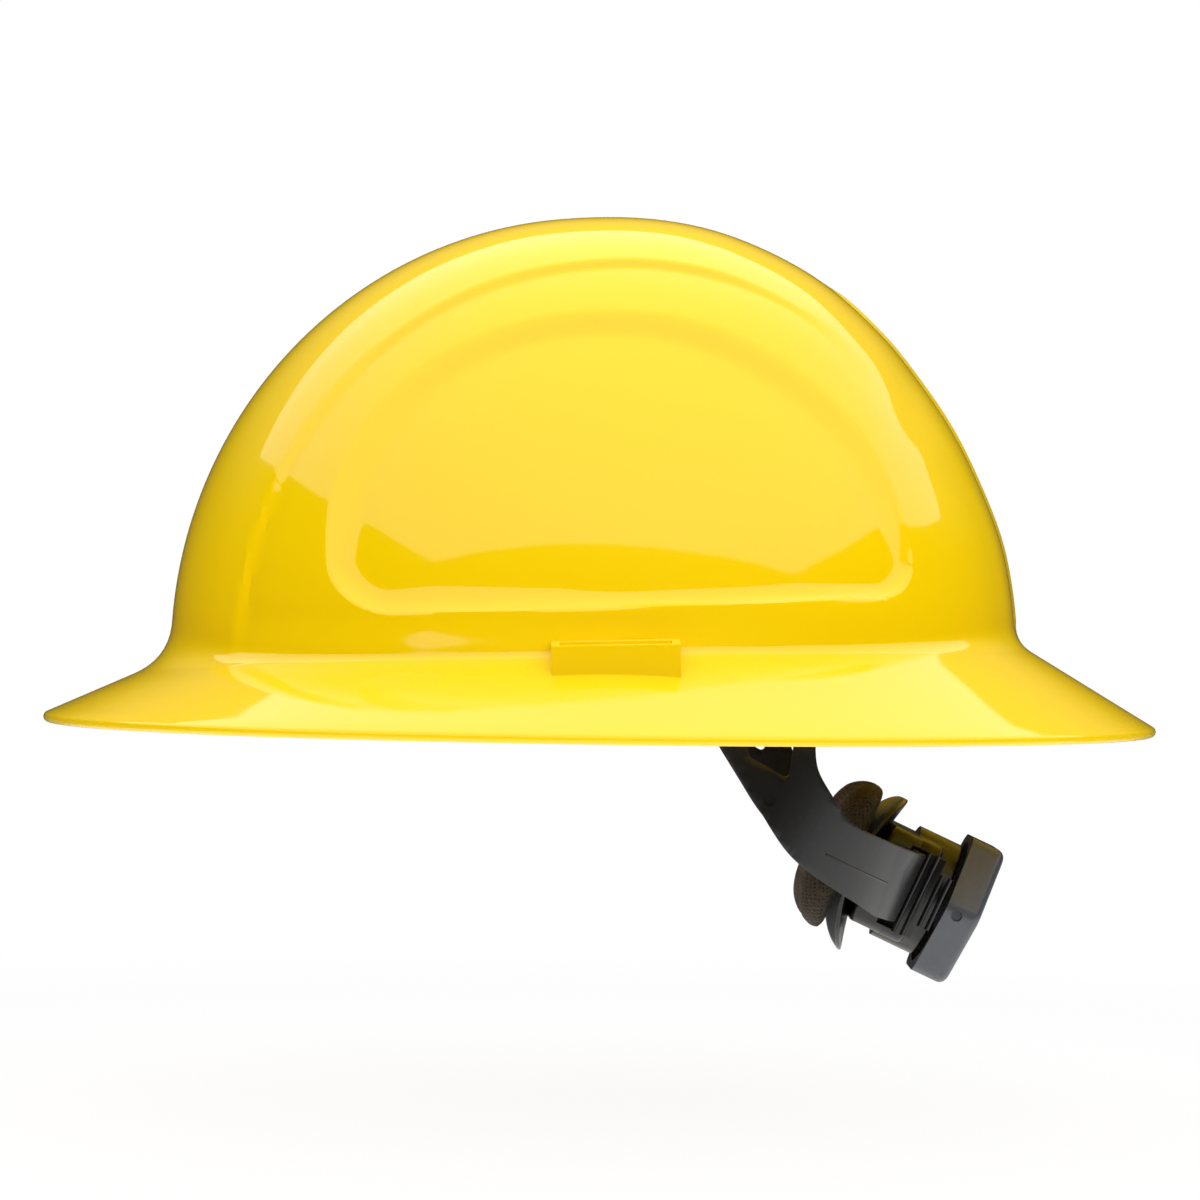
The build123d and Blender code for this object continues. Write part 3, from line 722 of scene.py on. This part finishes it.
def closed_piece(name, solid):
    """Scratch object of a closed solid, with its faces turned outwards."""
    piece = make_piece(name, *solid)
    work = bmesh.new()
    work.from_mesh(piece.data)
    bmesh.ops.recalc_face_normals(work, faces=work.faces)
    work.to_mesh(piece.data)
    work.free()
    return piece


def combine(piece, other, operation):
    """Adds another closed piece to this one, cuts it away or keeps what they share, and removes it."""
    modifier = piece.modifiers.new(operation.lower(), "BOOLEAN")
    modifier.operation = operation
    modifier.solver = "EXACT"
    modifier.object = other
    settle(piece)
    bpy.data.objects.remove(other)


class HAT_OT_shell(bpy.types.Operator):
    """Makes the moulded shell with its slots and key pockets."""

    bl_idname = "hat.shell"
    bl_label = "Shell"

    def execute(self, context):
        shell = make_piece("shell_moulding", *shell_surface())
        low = pocket_inner, -pocket_half_width, pocket_low
        high = pocket_inner + pocket_depth, pocket_half_width, pocket_high
        pockets = closed_piece("pockets", joined([at_key(angle, low, high) for angle in key_angles]))
        combine(pockets, closed_piece("core", core_surface()), "INTERSECT")
        combine(shell, pockets, "UNION")
        combine(shell, closed_piece("bosses", joined([boss_solid(1), boss_solid(-1)])), "UNION")
        slot_face = pocket_inner + key_slot_inset
        low = slot_face, -key_slot_half_width, 7.0
        high = slot_face + key_slot_depth, key_slot_half_width, 33.0
        cuts = [at_key(angle, low, high) for angle in key_angles]
        cuts += [slot_solid(1), slot_solid(-1)]
        combine(shell, closed_piece("slots", joined(cuts)), "DIFFERENCE")
        soften_edges(shell, 32)
        finish_piece(shell, "shell", "shell_plastic", shell_material(), "shell")
        return {"FINISHED"}


# Suspension

ratchet_centre = np.array([-87.3, 0, -44.7])
ratchet_axes = np.array([[0, -1.0, 0], [-0.4179, 0, 0.9085], [-0.9085, 0, -0.4179]])
housing_half_length = 28.4
headband_half = np.array([102.5, 82.5])
brow_pad_inset = 2.05
nape_pad_half = np.array([31.0, 23.5])
end_bow = 4.0


def from_ratchet(right, up, out):
    """Place in the hat's frame of points in the ratchet's own axes: right, up and out."""
    return ratchet_centre + np.stack(np.broadcast_arrays(right, up, out), -1) @ ratchet_axes


def end_bend(right):
    """How far the nape pad bends towards the head: as the square of the way to its ends."""
    return end_bow * (right / nape_pad_half[0]) ** 2


class HAT_OT_suspension(bpy.types.Operator):
    """Finishes the moulded keys, headband and pivot studs."""

    bl_idname = "hat.suspension"
    bl_label = "Moulded suspension"

    def execute(self, context):
        material = suspension_material()
        for node in (
            "hanger_key_front_left", "hanger_key_rear_left", "hanger_key_rear_right",
            "hanger_key_front_right", "headband", "pivot_stud_left", "pivot_stud_right",
        ):
            finish_piece(refined_copy(node), "shell", "suspension_plastic", material)
        return {"FINISHED"}


def strap_path(apex, reach=99.3, spring=24.0, end=7.0, count=90):
    """Middle line of a crown strap in its own upright plane: straight up, over in half an oval, and down."""
    turn = np.linspace(0, math.pi, count)
    arch = np.stack([reach * np.cos(turn), spring + (apex - spring) * np.sin(turn)], -1)
    drop = np.linspace(end, spring, 7)[:-1]
    rise = np.stack([np.full(6, reach), drop], -1)
    return np.concatenate([rise, arch, (rise * [-1, 1])[::-1]])


def strap_surface(angle, apex):
    """Woven strap: a flat rounded section carried along its path, with its selvedges slightly thicker."""
    path = strap_path(apex)
    along = np.concatenate([[0], np.cumsum(np.linalg.norm(np.diff(path, axis=0), axis=1))])
    tangent = unit(np.gradient(path, axis=0))
    normal = np.stack([tangent[:, 1], -tangent[:, 0]], -1)
    across = np.array([-9.4, -8.6, -7.4, -5, -2, 2, 5, 7.4, 8.6, 9.4])
    thick = np.array([0.25, 0.56, 0.6, 0.5, 0.5, 0.5, 0.5, 0.6, 0.56, 0.25])
    section = np.concatenate([np.stack([across, thick], -1), np.stack([across, -thick], -1)[::-1]])
    radial = path[:, None, 0] + normal[:, None, 0] * section[None, :, 1]
    height = path[:, None, 1] + normal[:, None, 1] * section[None, :, 1]
    side = np.broadcast_to(section[None, :, 0], radial.shape)
    cos, sin = cos_sin(angle)
    points = np.stack([dome_shift + radial * cos - side * sin, radial * sin + side * cos, height], -1)
    uv = np.stack([np.broadcast_to(along[:, None], side.shape), side], -1)
    return points, tube_faces(*radial.shape), uv


class HAT_OT_straps(bpy.types.Operator):
    """Makes the two crossing crown straps."""

    bl_idname = "hat.straps"
    bl_label = "Crown straps"

    def execute(self, context):
        material = webbing_material()
        for name, angle, apex in (("crown_strap_upper", 40, 111.9), ("crown_strap_lower", -40, 109.7)):
            points, faces, uv = strap_surface(angle, apex)
            strap = make_piece(name + "_webbing", points, faces, uv)
            finish_piece(strap, "shell", "strap_webbing", material, name)
        return {"FINISHED"}


def places(piece):
    """Positions of a mesh's points as one array."""
    flat = np.zeros(len(piece.data.vertices) * 3, np.float32)
    piece.data.vertices.foreach_get("co", flat)
    return flat.reshape(-1, 3)


def puffed(piece, voxel, reach, held=None):
    """Blows a closed pad up as cloth: its skin is divided evenly, swells for 20 frames and is smoothed once.

    A point moves by the given reach at most, and the points that a test holds stay where they are.
    """
    remesh = piece.modifiers.new("even_skin", "REMESH")
    remesh.mode = "VOXEL"
    remesh.voxel_size = voxel * MM
    settle(piece)
    before = places(piece)
    cloth = piece.modifiers.new("pressure", "CLOTH")
    cloth.settings.quality = 6
    cloth.settings.use_pressure = True
    cloth.settings.uniform_pressure_force = 20.0
    cloth.settings.effector_weights.gravity = 0
    if held is not None:
        group = piece.vertex_groups.new(name="sewn")
        group.add(np.flatnonzero(held(before / MM)).tolist(), 1.0, "REPLACE")
        cloth.settings.vertex_group_mass = group.name
    for moment in range(1, 21):
        bpy.context.scene.frame_set(moment)
    settle(piece)
    moved = places(piece) - before
    distance = np.linalg.norm(moved, axis=1, keepdims=True)
    kept = before + moved * np.minimum(1, reach * MM / np.maximum(distance, 1e-9))
    piece.data.vertices.foreach_set("co", kept.ravel())
    piece.modifiers.new("soft", "SUBSURF").levels = 1
    settle(piece)
    piece.data.shade_smooth()
    bpy.context.scene.frame_set(1)


def brow_surface(rows=96, around=40):
    """Padded band inside the front of the headband: a pillow section carried round the oval.

    The section is flat against the headband and crowned towards the head. It is drawn in at sewn
    channels 30 mm apart and tapers at both ends.
    """
    half = headband_half - brow_pad_inset
    end = math.acos((24.6 - dome_shift) / half[0])
    turn = np.linspace(-end, end, rows)[:, None]
    share = np.linspace(0, math.tau, around, endpoint=False)
    along = turn * 92.0
    channel = np.abs((along / 30.0 + 0.5) % 1 - 0.5) * 30.0
    puff = 0.72 + 0.28 * smooth(channel / 5.0)
    tip = np.sqrt(np.clip(1 - np.abs(turn / end) ** 14, 0.02, 1))
    height = 15.2 * tip
    up = 12.5 + height * squared_off(np.cos(share), 0.5)
    depth = (squared_off(np.sin(share), 0.8) + 1) / 2 * 4.9 * tip * puff
    points = np.stack([
        dome_shift + (half[0] - depth) * np.cos(turn), (half[1] - depth) * np.sin(turn),
        np.broadcast_to(up, depth.shape),
    ], -1)
    return points, tube_faces(rows, around)


class HAT_OT_brow_pad(bpy.types.Operator):
    """Makes the padded brow pad."""

    bl_idname = "hat.brow_pad"
    bl_label = "Brow pad"

    def execute(self, context):
        pad = make_piece("brow_pad_knit", *brow_surface())
        puffed(pad, 2.0, 1.5)
        finish_piece(pad, "shell", "brow_fabric", knit_material(), "brow_pad")
        return {"FINISHED"}


class HAT_OT_nape_arms(bpy.types.Operator):
    """Finishes the nape arms. On the real hat they bend with the size adjustment; here their faces are only
    cut across.
    """

    bl_idname = "hat.nape_arms"
    bl_label = "Nape arms"

    def laid_on(self, arm, side, spots):
        """Places on an arm's outer face, in millimetres, that stand behind given places on the hat's side."""
        found = []
        for x, z in spots:
            hit, place, normal, face = arm.ray_cast((x * MM, side * 0.2, z * MM), (0, -side, 0))
            if not hit:
                raise RuntimeError("The arm has no face behind one of its marks.")
            found.append([np.array(place) / MM, np.array(normal)])
        return np.array(found)

    def execute(self, context):
        material = suspension_material()
        for side, way in (("left", 1), ("right", -1)):
            arm = refined_copy("nape_arm_" + side, radius=0.7)
            (centre, outwards), = self.laid_on(arm, way, [(-46.6, -17.1)])
            line = np.linspace([-62.5, -32.0], [-80.5, -41.0], 12)
            ridge = bar(self.laid_on(arm, way, line)[:, 0], 0.3, 8)
            combine(arm, closed_piece("ridge", ridge), "UNION")
            pit = bar([centre - 0.8 * outwards, centre + outwards], 1.5, 32)
            combine(arm, closed_piece("pit", pit), "DIFFERENCE")
            start = from_ratchet(0, 0, -60.0) * MM
            end = from_ratchet(0, 0, -3.0) * MM
            for low, high in (((0, 0, -93.0), (0, 0, 3.0)), ((0, -9.0, 0), (0, 45.0, 0))):
                cut_across(arm, from_ratchet(*low) * MM, from_ratchet(*high) * MM, 3.0)
            soften_edges(arm)
            arm.data.materials.append(material)
            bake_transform(arm)
        return {"FINISHED"}


def plate_surface(rows=24, around=96):
    """Nape pad's plate: a leaf 2.6 mm thick in the middle and thinner at its rim.

    Its outline is a squared-off circle. It bows away from the head as the square of the height, and
    towards it as the square of the way to its ends.
    """
    half_turn = np.linspace(0, math.pi, rows + 2)[1:-1, None]
    turn = np.linspace(0, math.tau, around, endpoint=False)
    reach = np.sin(half_turn)
    right = nape_pad_half[0] * reach * squared_off(np.cos(turn), 0.66)
    up = 24.0 * reach * squared_off(np.sin(turn), 0.66) - 1.2 * reach ** 2
    thick = 1.3 * (1 - 0.1 * reach ** 4) * squared_off(np.cos(half_turn), 0.3)
    bow = 4.0 * (up / nape_pad_half[1]) ** 2 - end_bend(right)
    points = from_ratchet(right, up, -11.3 + bow + thick).reshape(-1, 3)
    poles = from_ratchet(0, 0, np.array([-10.0, -12.6]))
    count = len(points)
    faces = grid_faces(rows, around) + fan_faces(count, 0, around)
    return np.concatenate([points, poles]), faces + fan_faces(count + 1, count - around, around, -1)


class HAT_OT_ratchet(bpy.types.Operator):
    """Finishes the ratchet's housing, with the ribs on its ends, and the nape pad's plate."""

    bl_idname = "hat.ratchet"
    bl_label = "Ratchet housing"

    def rib(self, side, out):
        """Upright rib on one end of the housing: 1 mm wide and 0.7 mm proud."""
        height = 12.5 if out < 7 else 8.0
        return bar(from_ratchet(side, np.linspace(-height, height, 4), out), 0.7, 12)

    def execute(self, context):
        material = suspension_material()
        front = refined_copy("ratchet_housing_front", radius=0.4)
        finish_piece(front, "ratchet", "suspension_plastic", material)
        back = refined_copy("ratchet_housing_back", radius=0.4)
        sides = -housing_half_length, housing_half_length
        ribs = [self.rib(side, out) for side in sides for out in (3.0, 5.6, 9.0, 11.4)]
        combine(back, closed_piece("ribs", joined(ribs)), "UNION")
        soften_edges(back)
        finish_piece(back, "ratchet", "suspension_plastic", material)
        plate = make_piece("nape_pad_plate_leaf", *plate_surface())
        finish_piece(plate, "ratchet", "suspension_plastic", material, "nape_pad_plate")
        return {"FINISHED"}


class HAT_OT_knob(bpy.types.Operator):
    """Finishes the knob, its screw, the pinion and the detent spring."""

    bl_idname = "hat.knob"
    bl_label = "Ratchet knob"

    def execute(self, context):
        knob = refined_copy("ratchet_knob")
        dimple = from_ratchet(np.array([-22.3, -25.0]), -0.9, 18.2)
        combine(knob, closed_piece("dimple", bar(dimple, 1.6, 32)), "DIFFERENCE")
        soften_edges(knob)
        finish_piece(knob, "knob", "knob_plastic", knob_material())
        spring = spring_material()
        for node in ("drive_pinion", "detent_spring"):
            finish_piece(refined_copy(node), "knob", "spring_plastic", spring)
        finish_piece(refined_copy("knob_screw"), "knob", "screw_steel", screw_material())
        return {"FINISHED"}


def cushion_surface(rows=40, around=96):
    """Uninflated nape cushion: a rounded rectangle from its seam to a flat front with soft corners.

    From the base up, the outline is a circle's quarter, squared off by small powers.
    """
    angle = np.linspace(0, math.pi / 2, rows + 1)[:-1, None]
    turn = np.linspace(0, math.tau, around, endpoint=False)
    reach = np.cos(angle) ** 0.42
    depth = 10.6 * np.sin(angle) ** 0.62
    right = 29.4 * reach * squared_off(np.cos(turn), 0.55)
    up = 0.4 + 22.6 * reach * squared_off(np.sin(turn), 0.55)
    points = from_ratchet(right, up, -14.2 - depth - end_bend(right)).reshape(-1, 3)
    poles = from_ratchet(0, 0.4, np.array([-24.8, -13.3]))
    count = len(points)
    faces = grid_faces(rows, around) + fan_faces(count, count - around, around, -1)
    return np.concatenate([points, poles]), faces + fan_faces(count + 1, 0, around)


class HAT_OT_nape_cushion(bpy.types.Operator):
    """Makes the nape cushion, blown up as cloth and held at its base."""

    bl_idname = "hat.nape_cushion"
    bl_label = "Nape cushion"

    def near_base(self, place):
        """Which points, in millimetres, lie within 0.8 mm of the cushion's bent base."""
        right, _, out = ((place - ratchet_centre) @ ratchet_axes.T).T
        return out + end_bend(right) > -15.0

    def execute(self, context):
        cushion = make_piece("nape_cushion_mesh", *cushion_surface())
        puffed(cushion, 2.2, 3.0, self.near_base)
        finish_piece(cushion, "ratchet", "nape_mesh", mesh_material(), "nape_cushion")
        return {"FINISHED"}


# Stage: the camera and softbox are placed in metres, and the floor in millimetres

camera_place = (0.0005, 1.2, 0.0449)
camera_roll = 0.825
camera_lens = 122.8
camera_shift = -0.025
softbox_place = (-0.165, 0.465, 0.81)
softbox_size = (3.3375, 2.5125)
floor_level = -112.0
floor_half = 6000.0


def paper_material(tint):
    """Matt paper, pale under the hat and dark in the rest of the room.

    The camera sees its glow as white, but for some of the shadow near the hat. Reflections see its pale part.
    """
    material, shader, place = new_material("paper_sweep", Roughness=0.9)
    distance = add_node(material, "VectorMath", {0: place}, operation="LENGTH").outputs["Value"]
    shares = []
    for near, far in ((0.0, 1.0), (0.92, 1.0), (0.55, 0.05)):
        shares.append(add_node(material, "MapRange", {
            "Value": distance, "From Min": 0.2, "From Max": 0.5, "To Min": near, "To Max": far,
        }, interpolation_type="SMOOTHSTEP").outputs["Result"])
    mix = add_node(material, "Mix", {
        "Factor": shares[0], 6: (*tint, 1), 7: (*shade(tint, 0.12), 1),
    }, data_type="RGBA")
    link(material, mix.outputs[2], shader.inputs["Base Color"])
    path = add_node(material, "LightPath")
    mirrored = add_node(material, "Math", {
        0: path.outputs["Is Glossy Ray"], 1: path.outputs["Is Transmission Ray"],
    }, operation="MAXIMUM")
    mirrored = add_node(material, "Math", {0: mirrored.outputs[0], 1: shares[2]}, operation="MULTIPLY")
    seen = add_node(material, "Math", {
        0: path.outputs["Is Camera Ray"], 1: shares[1], 2: mirrored.outputs[0],
    }, operation="MULTIPLY_ADD")
    glow = add_node(material, "Emission", {"Color": (1, 1, 1, 1), "Strength": 1.0})
    blend = add_node(material, "MixShader", {"Fac": seen.outputs[0]})
    link(material, shader.outputs[0], blend.inputs[1])
    link(material, glow.outputs[0], blend.inputs[2])
    link(material, blend.outputs[0], material.node_tree.nodes["Material Output"].inputs["Surface"])
    return material


def make_world(fill):
    """Room: white to the camera, dim in reflections, and otherwise a soft light from the camera's side.

    The soft light falls off as the cube of the cosine from its middle. Reflections see dark walls and a
    pale ceiling behind the hat.
    """
    world = bpy.data.worlds.new("studio_room")
    bpy.context.scene.world = world
    world.use_nodes = True
    background = world.node_tree.nodes["Background"]
    background.inputs["Color"].default_value = (1, 1, 1, 1)
    path = add_node(world, "LightPath")
    place = add_node(world, "TexCoord").outputs["Generated"]
    facing = add_node(world, "VectorMath", {0: place, 1: (-0.22, 0.93, 0.3)}, operation="DOT_PRODUCT")
    cosine = add_node(world, "Math", {0: facing.outputs["Value"], 1: 0.0}, operation="MAXIMUM")
    lobe = add_node(world, "Math", {0: cosine.outputs[0], 1: 3.0}, operation="POWER")
    light = add_node(world, "Math", {0: lobe.outputs[0], 1: fill}, operation="MULTIPLY")
    split = add_node(world, "SeparateXYZ", {"Vector": place})
    ceiling = add_node(world, "MapRange", {
        "Value": split.outputs["Z"], "From Min": 0.2, "From Max": 0.5,
    }, interpolation_type="SMOOTHSTEP")
    behind = add_node(world, "MapRange", {
        "Value": split.outputs["Y"], "From Min": -0.6, "From Max": -0.1, "To Min": 0.2, "To Max": 0.0,
    }, interpolation_type="SMOOTHSTEP")
    pale = add_node(world, "Math", {
        0: ceiling.outputs["Result"], 1: behind.outputs["Result"],
    }, operation="MULTIPLY")
    mirrored = add_node(world, "Math", {0: pale.outputs[0], 1: 0.03}, operation="ADD")
    light = add_node(world, "Math", {
        0: pale.outputs[0], 1: 4.0, 2: light.outputs[0],
    }, operation="MULTIPLY_ADD")
    seen = add_node(world, "Math", {
        0: path.outputs["Is Glossy Ray"], 1: path.outputs["Is Transmission Ray"],
    }, operation="MAXIMUM")
    radiance = light.outputs[0]
    for share, value in ((seen.outputs[0], mirrored.outputs[0]), (path.outputs["Is Camera Ray"], 1.0)):
        mix = add_node(world, "Mix", {"Factor": share, 2: radiance, 3: value}, data_type="FLOAT")
        radiance = mix.outputs[0]
    link(world, radiance, background.inputs["Strength"])


def softbox(name, place, size, radiance, aim):
    """Area lamp that faces a point. Its power is its radiance times its area times pi."""
    data = bpy.data.lights.new(name, "AREA")
    data.shape = "RECTANGLE"
    data.size, data.size_y = size
    data.energy = radiance * size[0] * size[1] * math.pi
    lamp = new_object(name, data)
    out = unit(np.subtract(place, aim))
    right = unit(np.cross([0, 1, 0], out))
    direction = Matrix(np.stack([right, np.cross(out, right), out], 1).tolist())
    lamp.matrix_world = Matrix.Translation(place) @ direction.to_4x4()
    lamp.visible_camera = False


class HAT_OT_stage(bpy.types.Operator):
    """Makes the camera, the floor and the lights."""

    bl_idname = "hat.stage"
    bl_label = "Stage"

    def execute(self, context):
        settings = context.scene.hat_stage
        data = bpy.data.cameras.new("photo_camera")
        data.sensor_width = 36.0
        data.lens = camera_lens
        data.shift_y = camera_shift
        data.clip_end = 100.0
        camera = new_object("photo_camera", data)
        cos, sin = cos_sin(camera_roll)
        x, y, z = camera_place
        camera.matrix_world = Matrix(((-cos, sin, 0, x), (0, 0, 1, y), (sin, cos, 0, z), (0, 0, 0, 1)))
        context.scene.camera = camera
        corners = np.array([[-1, -1], [1, -1], [1, 1], [-1, 1]]) * floor_half
        floor = make_piece("floor", np.insert(corners, 2, floor_level, 1), [[0, 1, 2, 3]])
        floor.data.materials.append(paper_material(settings.floor))
        make_world(settings.fill_strength)
        x, y, z = softbox_place
        softbox("overhead_softbox", softbox_place, softbox_size, settings.lamp_strength, (x, y, 0))
        x, y, z = -0.03, 0.16, floor_level * MM + 0.003
        softbox("floor_reflector", (x, y, z), (0.7, 0.36), settings.bounce_strength, (x, y, 1.0))
        context.scene.view_settings.view_transform = "Standard"
        return {"FINISHED"}


class HAT_PT_panel(bpy.types.Panel):
    """Sidebar panel of the hard hat."""

    bl_idname = "HAT_PT_panel"
    bl_label = "Hard hat"
    bl_space_type = "VIEW_3D"
    bl_region_type = "UI"
    bl_category = "Hard hat"

    def draw(self, context):
        for group in (context.scene.hat_shell, context.scene.hat_suspension, context.scene.hat_stage):
            for name in group.__annotations__:
                self.layout.prop(group, name)
        for operator in operators:
            self.layout.operator(operator.bl_idname)


groups = {
    "hat_shell": HatShellSettings, "hat_suspension": HatSuspensionSettings, "hat_stage": HatStageSettings,
}
operators = (
    HAT_OT_shell, HAT_OT_suspension, HAT_OT_straps, HAT_OT_brow_pad, HAT_OT_nape_arms,
    HAT_OT_ratchet, HAT_OT_knob, HAT_OT_nape_cushion, HAT_OT_stage,
)


def register():
    """Registers the settings, operators and panel."""
    for name, group in groups.items():
        bpy.utils.register_class(group)
        setattr(bpy.types.Scene, name, bpy.props.PointerProperty(type=group))
    for kind in (*operators, HAT_PT_panel):
        bpy.utils.register_class(kind)


def unregister():
    """Takes away what register added."""
    for kind in (HAT_PT_panel, *reversed(operators)):
        bpy.utils.unregister_class(kind)
    for name, group in groups.items():
        delattr(bpy.types.Scene, name)
        bpy.utils.unregister_class(group)


def main():
    register()
    bpy.ops.hat.shell()
    bpy.ops.hat.suspension()
    bpy.ops.hat.straps()
    bpy.ops.hat.brow_pad()
    bpy.ops.hat.nape_arms()
    bpy.ops.hat.ratchet()
    bpy.ops.hat.knob()
    bpy.ops.hat.nape_cushion()
    bpy.ops.hat.stage()


if __name__ == "__main__":
    main()
